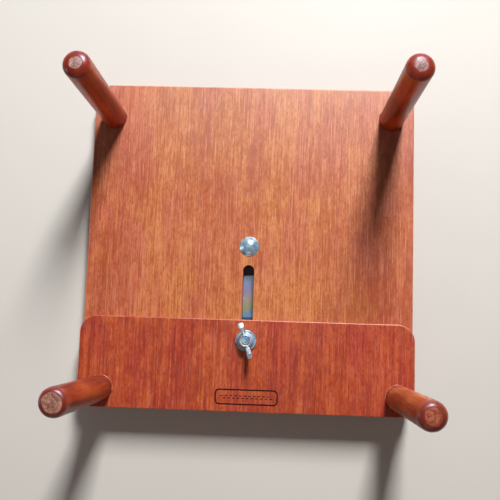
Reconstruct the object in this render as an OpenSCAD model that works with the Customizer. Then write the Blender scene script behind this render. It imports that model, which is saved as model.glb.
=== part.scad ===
// Four-peg hand loom: a square base board with two fixed pegs, and a narrower plate with
// two more pegs that slides over it and is clamped by a wing nut.
// Frame: millimetres, +Z up, +Y from the sliding plate towards the fixed pegs.
// The origin is on the surface the feet stand on, under the middle of the base board.

/* [Base board] */
// Side of the square base board
board_side = 254; // [220:1:300]
// Thickness of the base board
board_t = 9.5; // [9:0.5:15]
// Radius of the boards' rounded corners
corner_r = 13; // [2:0.5:14]

/* [Sliding plate] */
// Depth of the sliding plate, from its edge at the board's edge to its inner edge
plate_depth = 69; // [60:1:80]
// Thickness of the sliding plate
plate_t = 9.5; // [9:0.5:15]

/* [Pegs] */
// Diameter of the pegs
peg_d = 19; // [16:0.5:20]
// Whole length of a peg, with the part inside its board
peg_length = 127; // [80:1:160]
// Radius of the rounding round a peg's tip
peg_tip_r = 5; // [1:0.5:6]
// Width of the shoulder where a peg stands on its board
peg_shoulder = 1; // [0.5:0.25:2]
// Upper left peg: distance in from the side edge and from the top edge
upper_left_inset = [16, 26.5]; // [16:0.5:30]
// Upper right peg: distance in from the side edge and from the top edge
upper_right_inset = [18, 24]; // [16:0.5:30]
// Lower left peg: distance in from the side edge and from the bottom edge
lower_left_inset = [17.5, 14.5]; // [12:0.5:24]
// Lower right peg: distance in from the side edge and from the bottom edge
lower_right_inset = [12, 14.5]; // [12:0.5:24]

/* [Slot and clamp] */
// Width of the adjusting slot
slot_w = 8.5; // [7.5:0.1:10]
// Distance from the board's middle down to the slot's upper end
slot_top_down = 15.7; // [13:0.1:20]
// Distance from the board's bottom edge up to the slot's lower end
slot_bottom_up = 17; // [16:0.5:18]
// Distance from the board's bottom edge up to the clamp bolt
clamp_up = 53.3; // [52:0.1:54]
// Length of the steel strip under the slot
strip_length = 101.6; // [60:0.1:104]
// Width of the steel strip
strip_w = 16; // [12:0.5:20]
// Thickness of the steel strip
strip_t = 2; // [1:0.5:3]
// Angle that the strip is turned out of line with the slot
strip_skew = 4; // [-4:0.5:4]

/* [Wing nut] */
// Distance between the tips of the wings
wing_span = 27.4; // [24:0.2:32]
// Height of the wing tips above the nut's seat
wing_h = 14; // [11:0.5:16]
// Height of the nut's hub
hub_h = 8; // [6:0.5:9]
// Angle of the wings from the line of the slot
wing_turn = 18; // [0:1:180]

/* [Stop bolt] */
// Distance from the board's middle down to the stop bolt
stop_down = 1; // [0:0.5:2]

/* [Feet] */
// Height of the rubber feet
foot_h = 7; // [6.5:0.5:20]
// Widest diameter of the feet
foot_d = 24; // [20:1:26]
// Distance of the feet in from the side edges
foot_inset_x = 42; // [40:1:60]
// Distance of the feet in from the top and bottom edges
foot_inset_y = 18; // [16:1:24]

/* [Label outline] */
// Width of the engraved outline on the sliding plate
label_w = 47.2; // [30:0.2:60]
// Height of the engraved outline
label_h = 11.5; // [8:0.5:14]
// Depth of the engraved line
label_depth = 0.5; // [0.3:0.1:1]

/* [Hidden] */
$fn = 64;
// Cuts run past the faces they open by this much.
past = 1;
// Clearance between flat faces that slide on each other.
slide_gap = 0.05;
// Radial clearance of a turning fit.
turn_gap = 0.06;

// 1/4 inch hardware.
bolt_r = 3.175;
bolt_head_r = 7.6;
bolt_head_h = 3.6;
neck_w = 6.35;
neck_h = 3.2;
neck_clear = 0.1;
clamp_bolt_length = 31.75;
bolt_point = 0.6;
washer_r = 7.8;
washer_t = 1.6;
nut_sides = 6;
nut_flats = 11.1;
nut_corner_r = nut_flats / 2 / cos(180 / nut_sides);
nut_h = 5.2;
nut_pocket_r = 7;
nut_pocket_depth = 6;
stop_bolt_length = 9;
// Facets round the ball whose cap is a bolt's dome.
dome_facets = 256;

// Wing nut details.
hub_base_r = 5.9;
hub_top_r = 4.5;
hub_lip_h = 1.2;
wing_t = 3.6;
wing_tip_r = 2.6;
wing_tip_facets = 32;
wing_root_w = 1;
wing_root_low = 1.5;
wing_root_high = hub_h - 1;

// Chamfer round the edge of a peg's shoulder.
shoulder_chamfer = 0.5;

// Foot details.
foot_taper = 2;
foot_base_r = foot_d / 2 - foot_taper;
foot_edge_r = 1;
foot_recess_r = 6;
foot_recess_depth = 4;
foot_washer_r = 5.5;
foot_washer_t = 1;
foot_screw_r = 2;
foot_screw_head_r = 4;
foot_screw_head_h = 2.6;
foot_screw_bite = 7;

// Label details.
label_line_w = 0.8;
label_r = 3.2;
label_shift = 1.5;
label_up = 11.1;

// Places.
half = board_side / 2;
peg_r = peg_d / 2;
tenon_r = peg_r - peg_shoulder;
board_z = foot_h;
plate_z = board_z + board_t + slide_gap;
plate_top = plate_z + plate_t;
strip_z = board_z - slide_gap - strip_t;
washer_z = plate_top + slide_gap;
wing_nut_z = washer_z + washer_t + slide_gap;
clamp_y = clamp_up - half;
slot_r = slot_w / 2;
slot_top_y = -slot_top_down - slot_r;
slot_bottom_y = slot_bottom_up - half + slot_r;
upper_left_at = [upper_left_inset[0] - half, half - upper_left_inset[1]];
upper_right_at = [half - upper_right_inset[0], half - upper_right_inset[1]];
lower_left_at = [lower_left_inset[0] - half, lower_left_inset[1] - half];
lower_right_at = [half - lower_right_inset[0], lower_right_inset[1] - half];
foot_x = half - foot_inset_x;
foot_y = half - foot_inset_y;

// Rectangle about the origin with true round corners.
module rounded_rect(w, h, r) {
    square([w - 2 * r, h], center = true);
    square([w, h - 2 * r], center = true);
    for (x = [-1, 1], y = [-1, 1])
        translate([x * (w / 2 - r), y * (h / 2 - r)])
            circle(r);
}

// Slot outline along Y between two end centres.
module slot_outline(r, y_low, y_high) {
    translate([-r, y_low])
        square([2 * r, y_high - y_low]);
    for (y = [y_low, y_high])
        translate([0, y])
            circle(r);
}

module at_each_foot() {
    for (x = [-foot_x, foot_x], y = [-foot_y, foot_y])
        translate([x, y, 0])
            children();
}

module base_board() {
    color([0.75, 0.42, 0.24])
        difference() {
            translate([0, 0, board_z])
                linear_extrude(board_t)
                    rounded_rect(board_side, board_side, corner_r);
            translate([0, 0, board_z - past])
                linear_extrude(board_t + 2 * past)
                    slot_outline(slot_r, slot_bottom_y, slot_top_y);
            for (at = [upper_left_at, upper_right_at])
                translate([at[0], at[1], board_z - past])
                    cylinder(h = board_t + 2 * past, r = tenon_r);
            stop_bolt_hole();
            at_each_foot()
                translate([0, 0, board_z - past])
                    cylinder(h = foot_screw_bite + past, r = foot_screw_r);
        }
}

// Square pocket for the neck, a round hole, and a round pocket for the nut below.
module stop_bolt_hole() {
    translate([0, -stop_down, 0]) {
        translate([0, 0, board_z - past])
            cylinder(h = board_t + 2 * past, r = bolt_r);
        translate([-neck_w / 2, -neck_w / 2, board_z + board_t - neck_h])
            cube([neck_w, neck_w, neck_h + past]);
        translate([0, 0, board_z - past])
            cylinder(h = nut_pocket_depth + past, r = nut_pocket_r);
    }
}

module sliding_plate() {
    color([0.68, 0.33, 0.21])
        difference() {
            translate([0, plate_depth / 2 - half, plate_z])
                linear_extrude(plate_t)
                    rounded_rect(board_side, plate_depth, corner_r);
            for (at = [lower_left_at, lower_right_at])
                translate([at[0], at[1], plate_z - past])
                    cylinder(h = plate_t + 2 * past, r = tenon_r);
            translate([0, clamp_y, plate_z - past])
                cylinder(h = plate_t + 2 * past, r = bolt_r + turn_gap);
            translate([label_shift, label_up - half, plate_top - label_depth])
                linear_extrude(label_depth + past)
                    label_outline();
        }
}

module label_outline() {
    inner = 2 * label_line_w;
    difference() {
        rounded_rect(label_w, label_h, label_r);
        rounded_rect(label_w - inner, label_h - inner, label_r - label_line_w);
    }
}

// Dowel with a rounded tip, and a tenon that fills its board from z to the shoulder.
module peg(at, z, board_thickness) {
    flat_r = peg_r - peg_tip_r;
    tip_z = peg_length - peg_tip_r;
    wall_z = board_thickness + shoulder_chamfer;
    color([0.66, 0.28, 0.14])
        translate([at[0], at[1], z])
            rotate_extrude() {
                square([tenon_r, wall_z]);
                polygon([
                    [0, board_thickness],
                    [peg_r - shoulder_chamfer, board_thickness],
                    [peg_r, wall_z],
                    [0, wall_z]
                ]);
                translate([0, wall_z])
                    square([peg_r, tip_z - wall_z]);
                square([flat_r, peg_length]);
                intersection() {
                    translate([flat_r, tip_z])
                        circle(peg_tip_r);
                    translate([0, tip_z])
                        square(peg_r);
                }
            }
}

// Low dome of a carriage bolt, on the plane z = 0 and rising along +Z.
module dome_head(r, h) {
    ball_r = (r * r + h * h) / (2 * h);
    rotate_extrude()
        intersection() {
            translate([0, h - ball_r])
                circle(ball_r, $fn = dome_facets);
            square([r, h]);
        }
}

// Carriage bolt with its head's underside on z = 0 and its shank rising along +Z.
module carriage_bolt(length) {
    mirror([0, 0, 1])
        dome_head(bolt_head_r, bolt_head_h);
    translate([-neck_w / 2, -neck_w / 2, 0])
        cube([neck_w, neck_w, neck_h]);
    cylinder(h = length - bolt_point, r = bolt_r);
    translate([0, 0, length - bolt_point])
        cylinder(h = bolt_point, r1 = bolt_r, r2 = bolt_r - bolt_point);
}

module clamp_bolt() {
    color([0.7, 0.74, 0.8])
        translate([0, clamp_y, strip_z])
            rotate(strip_skew)
                carriage_bolt(clamp_bolt_length);
}

module backing_strip() {
    hole_w = neck_w + 2 * neck_clear;
    color([0.62, 0.64, 0.68])
        translate([0, clamp_y, strip_z])
            rotate(strip_skew)
                difference() {
                    translate([-strip_w / 2, -strip_length / 2, 0])
                        cube([strip_w, strip_length, strip_t]);
                    translate([-hole_w / 2, -hole_w / 2, -past])
                        cube([hole_w, hole_w, strip_t + 2 * past]);
                }
}

module clamp_washer() {
    color([0.7, 0.74, 0.8])
        translate([0, clamp_y, washer_z])
            difference() {
                cylinder(h = washer_t, r = washer_r);
                translate([0, 0, -past])
                    cylinder(h = washer_t + 2 * past, r = bolt_r + turn_gap);
            }
}

// Side view of both wings, from the hub out to the round tips.
module wings_outline() {
    tip_x = wing_span / 2 - wing_tip_r;
    tip_z = wing_h - wing_tip_r;
    for (side = [0, 1])
        mirror([side, 0])
            hull() {
                translate([tip_x, tip_z])
                    circle(wing_tip_r, $fn = wing_tip_facets);
                translate([hub_top_r - wing_root_w, wing_root_low])
                    square([wing_root_w, wing_root_high - wing_root_low]);
            }
}

module wing_nut() {
    color([0.7, 0.74, 0.8])
        translate([0, clamp_y, wing_nut_z])
            difference() {
                union() {
                    cylinder(h = hub_lip_h, r = hub_base_r);
                    translate([0, 0, hub_lip_h])
                        cylinder(h = hub_h - hub_lip_h, r1 = hub_base_r, r2 = hub_top_r);
                    rotate([90, 0, 90 + wing_turn])
                        translate([0, 0, -wing_t / 2])
                            linear_extrude(wing_t)
                                wings_outline();
                }
                translate([0, 0, -past])
                    cylinder(h = wing_h + 2 * past, r = bolt_r + turn_gap);
            }
}

module stop_bolt() {
    color([0.7, 0.74, 0.8])
        translate([0, -stop_down, board_z + board_t])
            mirror([0, 0, 1])
                carriage_bolt(stop_bolt_length);
}

module stop_nut() {
    pocket_top = board_z + nut_pocket_depth;
    color([0.7, 0.74, 0.8])
        translate([0, -stop_down, pocket_top - nut_h])
            difference() {
                cylinder(h = nut_h, r = nut_corner_r, $fn = nut_sides);
                translate([0, 0, -past])
                    cylinder(h = nut_h + 2 * past, r = bolt_r);
            }
}

// Tapered rubber foot, recessed from below for its washer and screw.
module foot(x_side, y_side) {
    color([0.16, 0.15, 0.15])
        translate([x_side * foot_x, y_side * foot_y, 0])
            difference() {
                rotate_extrude()
                    foot_profile();
                translate([0, 0, -past])
                    cylinder(h = foot_recess_depth + past, r = foot_recess_r);
                cylinder(h = foot_h + past, r = foot_screw_r);
            }
}

module foot_profile() {
    polygon([
        [0, 0],
        [foot_base_r - foot_edge_r, 0],
        [foot_base_r, foot_edge_r],
        [foot_d / 2, foot_h],
        [0, foot_h]
    ]);
}

module foot_washers() {
    color([0.7, 0.72, 0.75])
        at_each_foot()
            translate([0, 0, foot_recess_depth - foot_washer_t])
                difference() {
                    cylinder(h = foot_washer_t, r = foot_washer_r);
                    translate([0, 0, -past])
                        cylinder(h = foot_washer_t + 2 * past, r = foot_screw_r);
                }
}

module foot_screws() {
    head_z = foot_recess_depth - foot_washer_t - foot_screw_head_h;
    color([0.7, 0.72, 0.75])
        at_each_foot() {
            translate([0, 0, head_z])
                cylinder(h = foot_screw_head_h, r = foot_screw_head_r);
            translate([0, 0, head_z])
                cylinder(h = foot_h + foot_screw_bite - head_z, r = foot_screw_r);
        }
}

base_board();
sliding_plate();
peg(upper_left_at, board_z, board_t);  // upper_left_peg
peg(upper_right_at, board_z, board_t);  // upper_right_peg
peg(lower_left_at, plate_z, plate_t);  // lower_left_peg
peg(lower_right_at, plate_z, plate_t);  // lower_right_peg
clamp_bolt();
backing_strip();
clamp_washer();
wing_nut();
stop_bolt();
stop_nut();
foot(-1, 1);  // upper_left_foot
foot(1, 1);  // upper_right_foot
foot(-1, -1);  // lower_left_foot
foot(1, -1);  // lower_right_foot
foot_washers();
foot_screws();
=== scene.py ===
import math

import bmesh
import bpy
from mathutils import Matrix, Vector


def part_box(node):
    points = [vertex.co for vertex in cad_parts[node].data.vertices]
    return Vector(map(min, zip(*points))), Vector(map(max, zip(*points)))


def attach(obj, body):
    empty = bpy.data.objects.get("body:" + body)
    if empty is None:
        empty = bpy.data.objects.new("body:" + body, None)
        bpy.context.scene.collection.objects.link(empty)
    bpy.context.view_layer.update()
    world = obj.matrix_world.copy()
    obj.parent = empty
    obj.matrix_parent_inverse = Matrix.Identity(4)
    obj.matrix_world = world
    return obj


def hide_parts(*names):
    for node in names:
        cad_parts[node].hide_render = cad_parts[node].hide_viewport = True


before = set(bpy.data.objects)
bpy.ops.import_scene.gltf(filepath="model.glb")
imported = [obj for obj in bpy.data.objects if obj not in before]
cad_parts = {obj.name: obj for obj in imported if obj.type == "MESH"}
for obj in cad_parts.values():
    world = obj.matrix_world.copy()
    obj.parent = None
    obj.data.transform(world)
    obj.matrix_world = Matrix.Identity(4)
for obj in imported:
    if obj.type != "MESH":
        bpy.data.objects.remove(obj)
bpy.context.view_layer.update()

MM = 0.001

# ---- 1. places from the frame
board_low, board_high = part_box("base_board")
plate_low, plate_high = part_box("sliding_plate")
washer_low, washer_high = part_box("clamp_washer")
nut_low, nut_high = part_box("wing_nut")
strip_low, strip_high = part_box("backing_strip")
clamp_low, clamp_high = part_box("clamp_bolt")
stop_low, stop_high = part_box("stop_bolt")
stop_nut_low, stop_nut_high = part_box("stop_nut")

BOARD_SIDE = board_high.x - board_low.x
HALF = BOARD_SIDE / 2
CORNER_R = 13 * MM
CLAMP_Y = (washer_low.y + washer_high.y) / 2
STOP_Y = (stop_nut_low.y + stop_nut_high.y) / 2
SLOT_R = 4.25 * MM
SLOT_TOP = -15.7 * MM
SLOT_BOTTOM = 17 * MM - HALF
NUT_POCKET_R = 7 * MM
NUT_POCKET_TOP = stop_nut_high.z
BOLT_R = 3.175 * MM
BORE_R = BOLT_R + 0.08 * MM
THREAD_PITCH = 1.27 * MM
CLAMP_THREAD_FROM = 16 * MM
STOP_THREAD_FROM = 4 * MM
NECK_W = 6.35 * MM
HEAD_R = 7.6 * MM
HEAD_H = 3.6 * MM
STRIP_LENGTH = 101.6 * MM
STRIP_WIDTH = 16 * MM
STRIP_SKEW = math.radians(4)
WING_TURN = math.radians(18)
WING_REACH = 13.6 * MM
FOOT_RECESS_R = 6 * MM
FOOT_RECESS_DEPTH = 4 * MM
SCREW_R = 2 * MM
SCREW_BITE = 7 * MM
SCREW_PITCH = 1.4 * MM
FOOT_WASHER_R = 5.5 * MM
PEG_SHOULDER = 1 * MM
SHOULDER_CHAMFER = 0.5 * MM
SAME_POINT = 1e-7
FLAT_FACE = 1e-6
ROUND_SIDES = 64


def middle(node):
    """Centre of a node's box, on plan."""
    low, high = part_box(node)
    return (low.x + high.x) / 2, (low.y + high.y) / 2


def radius(node):
    """Radius of a round node."""
    low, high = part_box(node)
    return (high.x - low.x) / 2


# ---- 2. mesh tools
def rounded_loop(cx, cy, w, h, r, steps=10):
    """A function of inset that gives the round-cornered loop that far inside the outline."""
    def points(inset=0.0):
        loop = []
        for sx, sy, start in ((1, 1, 0), (-1, 1, 90), (-1, -1, 180), (1, -1, 270)):
            for k in range(steps + 1):
                turn = math.radians(start + 90 * k / steps)
                x = cx + sx * (w / 2 - r) + (r - inset) * math.cos(turn)
                y = cy + sy * (h / 2 - r) + (r - inset) * math.sin(turn)
                if not loop or math.dist(loop[-1], (x, y)) > SAME_POINT:
                    loop.append((x, y))
        if math.dist(loop[0], loop[-1]) < SAME_POINT:
            loop.pop()
        return loop
    return points


def round_loop(cx, cy, r, steps=10):
    return rounded_loop(cx, cy, 2 * r, 2 * r, r, steps)


def add_ring(bm, loop, z):
    return [bm.verts.new((x, y, z)) for x, y in loop]


def add_point(bm, centre, r, angle, z):
    """A vertex at a distance and an angle from an upright axis."""
    return bm.verts.new((centre[0] + r * math.cos(angle), centre[1] + r * math.sin(angle), z))


def add_circle(bm, centre, r, z, sides):
    return [add_point(bm, centre, r, 2 * math.pi * k / sides, z) for k in range(sides)]


def bridge(bm, lower, upper, slot=0):
    """Quads between two rings of the same length."""
    n = len(lower)
    for k in range(n):
        face = bm.faces.new((lower[k], lower[(k + 1) % n], upper[(k + 1) % n], upper[k]))
        face.material_index = slot


def bridge_all(bm, rings, slot=0):
    """Quads between each ring and the next."""
    for lower, upper in zip(rings, rings[1:]):
        bridge(bm, lower, upper, slot)


def fill_rings(bm, rings, slot=0):
    """Flat face between an outer ring and any holes."""
    edges = []
    for ring in rings:
        for k, vert in enumerate(ring):
            edges.append(bm.edges.get((vert, ring[(k + 1) % len(ring)])))
    made = bmesh.ops.triangle_fill(bm, use_beauty=True, use_dissolve=False, edges=edges)
    for item in made["geom"]:
        if isinstance(item, bmesh.types.BMFace):
            item.material_index = slot


def edge_steps(z_low, z_high, soft, steps=3):
    """(inset, height) pairs up a side whose two edges are rounded by soft."""
    turns = [math.pi / 2 * k / steps for k in range(steps + 1)]
    low = [(soft * (1 - math.sin(t)), z_low + soft * (1 - math.cos(t))) for t in turns]
    high = [(inset, z_high - (z - z_low)) for inset, z in reversed(low)]
    return low + high


def add_wall(bm, outline, grow, z_low, z_high, soft, face_slot=0, side_slot=0):
    """A rounded-edged wall up an outline. grow is 1 for an outside, -1 for a hole."""
    steps = edge_steps(z_low, z_high, soft)
    rings = [add_ring(bm, outline(grow * inset), z) for inset, z in steps]
    straight = len(steps) // 2 - 1
    for k in range(len(rings) - 1):
        bridge(bm, rings[k], rings[k + 1], side_slot if k == straight else face_slot)
    return rings[0], rings[-1]


def add_walls(bm, walls, z_low, z_high):
    """Cut walls up several (outline, grow, soft) outlines. Gives their low and high rings."""
    lows, highs = [], []
    for outline, grow, soft in walls:
        low, high = add_wall(bm, outline, grow, z_low, z_high, soft, 0, 1)
        lows.append(low)
        highs.append(high)
    return lows, highs


def lathe(bm, profile, at=(0, 0), sides=ROUND_SIDES, closed=False):
    """Turned surface of (radius, height) pairs. A radius of 0 closes an end on the axis."""
    rings = []
    for r, z in profile:
        if r == 0:
            rings.append([bm.verts.new((at[0], at[1], z))])
        else:
            rings.append(add_circle(bm, at, r, z, sides))
    pairs = list(zip(rings, rings[1:]))
    if closed:
        pairs.append((rings[-1], rings[0]))
    for a, b in pairs:
        for k in range(sides):
            j = (k + 1) % sides
            if len(a) == 1:
                bm.faces.new((a[0], b[j], b[k]))
            elif len(b) == 1:
                bm.faces.new((a[k], a[j], b[0]))
            else:
                bm.faces.new((a[k], a[j], b[j], b[k]))


def arc(cx, cz, r, start, end, steps=6):
    """(radius, height) pairs round an arc, for lathe profiles. Angles are in degrees."""
    turns = [math.radians(start + (end - start) * k / steps) for k in range(steps + 1)]
    return [(cx + r * math.cos(t), cz + r * math.sin(t)) for t in turns]


def put_at(bm, at, turn, axis="Z"):
    """Turns a mesh about an axis through the origin, then moves it."""
    matrix = Matrix.Translation(at) @ Matrix.Rotation(turn, 4, axis)
    bmesh.ops.transform(bm, matrix=matrix, verts=bm.verts)


def shade_smooth(mesh, sharp=None):
    mesh.polygons.foreach_set("use_smooth", [True] * len(mesh.polygons))
    if sharp:
        mesh.set_sharp_from_angle(angle=math.radians(sharp))


def finish_mesh(bm, name, materials, sharp=40, flat_weight=True):
    """Turns a bmesh into a smooth-shaded object with its materials."""
    bmesh.ops.remove_doubles(bm, verts=bm.verts, dist=SAME_POINT)
    bmesh.ops.recalc_face_normals(bm, faces=bm.faces)
    mesh = bpy.data.meshes.new(name)
    bm.to_mesh(mesh)
    bm.free()
    for material in materials:
        mesh.materials.append(material)
    shade_smooth(mesh, sharp)
    piece = bpy.data.objects.new(name, mesh)
    bpy.context.scene.collection.objects.link(piece)
    if flat_weight:
        weighted = piece.modifiers.new("flat faces first", "WEIGHTED_NORMAL")
        weighted.keep_sharp = True
    return piece


def set_grain(piece, along="Y", centre=(0, 0, 0), shift=(0, 0, 0)):
    """Stores grain coordinates: the fibres run along the attribute's Y."""
    grain = piece.data.attributes.new("grain", "FLOAT_VECTOR", "POINT")
    values = []
    for vert in piece.data.vertices:
        x, y, z = vert.co - Vector(centre)
        if along == "Z":
            x, y, z = x, z, y
        values += [x + shift[0], y + shift[1], z + shift[2]]
    grain.data.foreach_set("vector", values)


def set_amount(piece, name, amount_at):
    """Stores an amount from 0 to 1 at each vertex, such as how much painted light it takes."""
    amount = piece.data.attributes.new(name, "FLOAT", "POINT")
    amount.data.foreach_set("value", [amount_at(vert.co) for vert in piece.data.vertices])


def apply_modifiers(piece):
    """Replaces the mesh with its modified shape."""
    depsgraph = bpy.context.evaluated_depsgraph_get()
    mesh = bpy.data.meshes.new_from_object(piece.evaluated_get(depsgraph))
    piece.modifiers.clear()
    piece.data = mesh


def place(piece, body, slot, *nodes):
    """Rides a piece on its body and hides the CAD nodes it stands for. The slot is not used."""
    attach(piece, body)
    if nodes:
        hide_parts(*nodes)


# ---- 3. materials
class Graph:
    """Short-hand for building a node tree."""

    def __init__(self, name):
        self.material = bpy.data.materials.new(name)
        self.material.use_nodes = True
        self.tree = self.material.node_tree
        self.shader = self.tree.nodes["Principled BSDF"]

    def add(self, kind, inputs=None, **settings):
        node = self.tree.nodes.new(kind)
        for key, value in settings.items():
            setattr(node, key, value)
        for key, value in (inputs or {}).items():
            self.put(node.inputs[key], value)
        return node

    def put(self, socket, value):
        if isinstance(value, bpy.types.NodeSocket):
            self.tree.links.new(value, socket)
        else:
            socket.default_value = value

    def set(self, **sockets):
        for key, value in sockets.items():
            self.put(self.shader.inputs[key.replace("_", " ")], value)

    def attribute(self, name, output):
        return self.add("ShaderNodeAttribute", attribute_name=name).outputs[output]

    def position(self):
        return self.add("ShaderNodeTexCoord").outputs["Object"]

    def noise(self, vector, scale, move=(0, 0, 0), detail=3.0, rough=0.55):
        mapping = self.add("ShaderNodeMapping", {"Vector": vector, "Scale": scale, "Location": move})
        inputs = {"Vector": mapping.outputs["Vector"], "Scale": 1.0, "Detail": detail, "Roughness": rough}
        return self.add("ShaderNodeTexNoise", inputs).outputs["Fac"]

    def math(self, operation, a, b=0.0, c=0.0):
        node = self.add("ShaderNodeMath", operation=operation)
        for socket, value in zip(node.inputs, (a, b, c)):
            self.put(socket, value)
        return node.outputs["Value"]

    def times(self, a, b, plus=None):
        """a * b, or a * b + plus."""
        if plus is None:
            return self.math("MULTIPLY", a, b)
        return self.math("MULTIPLY_ADD", a, b, plus)

    def between(self, value, low, high, to_low=0.0, to_high=1.0):
        inputs = {"Value": value, "From Min": low, "From Max": high, "To Min": to_low, "To Max": to_high}
        return self.add("ShaderNodeMapRange", inputs, interpolation_type="SMOOTHSTEP").outputs["Result"]

    def ramp(self, value, stops):
        node = self.add("ShaderNodeValToRGB", {"Fac": value})
        ramp = node.color_ramp
        while len(ramp.elements) < len(stops):
            ramp.elements.new(1.0)
        for element, (at, colour) in zip(ramp.elements, stops):
            element.position = at
            element.color = (*colour, 1.0)
        return node.outputs["Color"]

    def mix(self, factor, a, b, blend="MIX"):
        """Mixes two colours. The node repeats its sockets' names for each type of data."""
        colour_a, colour_b, colour_out = 6, 7, 2
        node = self.add("ShaderNodeMix", data_type="RGBA", blend_type=blend)
        self.put(node.inputs["Factor"], factor)
        for index, value in ((colour_a, a), (colour_b, b)):
            if isinstance(value, tuple):
                value = (*value, 1.0)
            self.put(node.inputs[index], value)
        return node.outputs[colour_out]

    def bump(self, height, distance, strength=1.0, normal=None):
        inputs = {"Height": height, "Distance": distance, "Strength": strength}
        if normal is not None:
            inputs["Normal"] = normal
        return self.add("ShaderNodeBump", inputs).outputs["Normal"]


# Colours of painted light on the veneer: glints on the fibres, a sheen towards the far end and highlights
# on the rounded edges.
GLINT_HAIR = (0.055, 0.060, 0.060)
SHEEN_TINT = (0.78, 0.56, 0.50)
EDGE_HIGHLIGHT = (0.80, 0.42, 0.30)


def stained_veneer(name, dark, mid, light, pore, soak, soaked_edges, soak_middle=0.0):
    """Fine-grained veneer under a thin satin lacquer, paler towards its far end with a painted sheen of
    the window light.
    Stain has soaked in redder in patches and, by soaked_edges, away from x = soak_middle."""
    g = Graph(name)
    grain = g.attribute("grain", "Vector")
    wander = g.noise(grain, (7, 3, 7), detail=2.0)
    sway = g.add("ShaderNodeCombineXYZ", {"X": g.times(g.math("SUBTRACT", wander, 0.5), 0.006)})
    wavy = g.add("ShaderNodeVectorMath", {0: grain, 1: sway.outputs["Vector"]}, operation="ADD")
    wavy = wavy.outputs["Vector"]

    # Long straight fibres, which come and go along their length.
    cloud = g.noise(grain, (15, 9, 15))
    band = g.noise(wavy, (150, 5, 150), rough=0.6)
    line = g.noise(wavy, (820, 24, 820), rough=0.7)
    hair = g.noise(wavy, (1500, 45, 1500), (3, 7, 1), detail=2.0, rough=0.6)
    broken = g.noise(wavy, (330, 150, 330), (1, 4, 2), rough=0.6)
    mottle = g.noise(wavy, (210, 100, 210), (6, 3, 8), detail=4.0, rough=0.7)
    share = g.between(broken, 0.38, 0.62, 0.35, 1.65)
    fibre = g.times(g.math("SUBTRACT", line, 0.5), share, 0.5)
    ticks = g.noise(wavy, (1300, 330, 1300), (5, 2, 9), detail=2.0, rough=0.6)
    pore_mask = g.between(ticks, 0.58, 0.72)

    tone = g.times(cloud, 0.14, g.times(band, 0.10))
    tone = g.times(mottle, 0.20, tone)
    tone = g.times(fibre, 0.34, tone)
    tone = g.times(ticks, 0.22, tone)
    colour = g.ramp(tone, [(0.446, dark), (0.50, mid), (0.554, light)])
    colour = g.mix(g.times(pore_mask, 0.35), colour, pore)

    blotch = g.noise(wavy, (52, 15, 52), (8, 1, 4), detail=4.0, rough=0.6)
    parts = g.add("ShaderNodeSeparateXYZ", {"Vector": g.position()})
    aside = g.math("ABSOLUTE", g.math("SUBTRACT", parts.outputs["X"], soak_middle))
    side = g.between(aside, 0.045, 0.135, 0.0, soaked_edges)
    red = g.math("ADD", g.between(blotch, 0.44, 0.62, 0.0, 0.75), side)
    red = g.times(g.math("SUBTRACT", cloud, 0.5), 0.8, red)
    red = g.add("ShaderNodeClamp", {"Value": red}).outputs["Result"]
    colour = g.mix(red, colour, g.mix(1.0, colour, soak, "MULTIPLY"))

    # Pale hairs along the fibres: painted glints of the lacquer.
    pale = g.times(g.between(hair, 0.50, 0.66), g.between(broken, 0.40, 0.62, 0.3, 1.0))
    colour = g.mix(pale, colour, GLINT_HAIR, "ADD")
    # Painted sheen: paler towards the far end, where the window light glances off the lacquer.
    painted_sheen = g.between(parts.outputs["Y"], 0.03, 0.13, 0.0, 0.11)
    colour = g.mix(painted_sheen, colour, SHEEN_TINT)

    # Painted highlight on the rounded edges, broken into patches.
    painted_light = g.attribute("painted_light", "Fac")
    patchy = g.between(g.noise(grain, (90, 90, 90), detail=4.0), 0.30, 0.65)
    lit_edge = g.times(painted_light, patchy)
    colour = g.mix(g.times(lit_edge, 0.75), colour, g.mix(0.5, light, EDGE_HIGHLIGHT))

    roughness = g.between(g.noise(grain, (35, 20, 35)), 0.3, 0.7, 0.40, 0.50)
    roughness = g.times(pore_mask, 0.10, roughness)
    fine = g.bump(fibre, 0.00003, 0.7)
    deep = g.bump(g.math("SUBTRACT", 1.0, pore_mask), 0.00004, 0.7, fine)
    g.set(Base_Color=colour, Roughness=roughness, Normal=deep, Specular_IOR_Level=0.65)
    g.set(Coat_Weight=0.5, Coat_Roughness=0.30, Coat_IOR=1.5)
    return g.material


def ply_edge(name, face_ply, core_ply, dark_ply, z_low, z_high, plies=7):
    """Cut edge of plywood: thin layers, end-grain and long-grain by turns, soaked with stain."""
    g = Graph(name)
    place_of = g.position()
    height = g.add("ShaderNodeSeparateXYZ", {"Vector": place_of}).outputs["Z"]
    ragged = g.noise(place_of, (420, 420, 700))
    layer = g.between(height, z_low, z_high, 0.0, float(plies))
    layer.node.interpolation_type = "LINEAR"
    layer = g.times(g.math("SUBTRACT", ragged, 0.5), 0.22, layer)
    odd = g.math("PINGPONG", layer, 1.0)
    band = g.between(odd, 0.40, 0.60)
    line = g.between(g.math("ABSOLUTE", g.math("SUBTRACT", odd, 0.5)), 0.0, 0.12, 1.0, 0.0)
    along = g.noise(place_of, (60, 60, 2600), detail=4.0, rough=0.7)
    across = g.noise(place_of, (1500, 1500, 1500))
    long_grain = g.mix(along, face_ply, dark_ply)
    cross_grain = g.mix(g.between(across, 0.35, 0.65), core_ply, dark_ply)
    colour = g.mix(band, long_grain, cross_grain)
    colour = g.mix(g.times(line, 0.55), colour, dark_ply)
    height_map = g.times(band, -0.5, across)
    g.set(Base_Color=colour, Roughness=g.between(across, 0.3, 0.7, 0.48, 0.66))
    g.set(Normal=g.bump(height_map, 0.00012, 0.7), Coat_Weight=0.1, Coat_Roughness=0.35)
    return g.material


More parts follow.
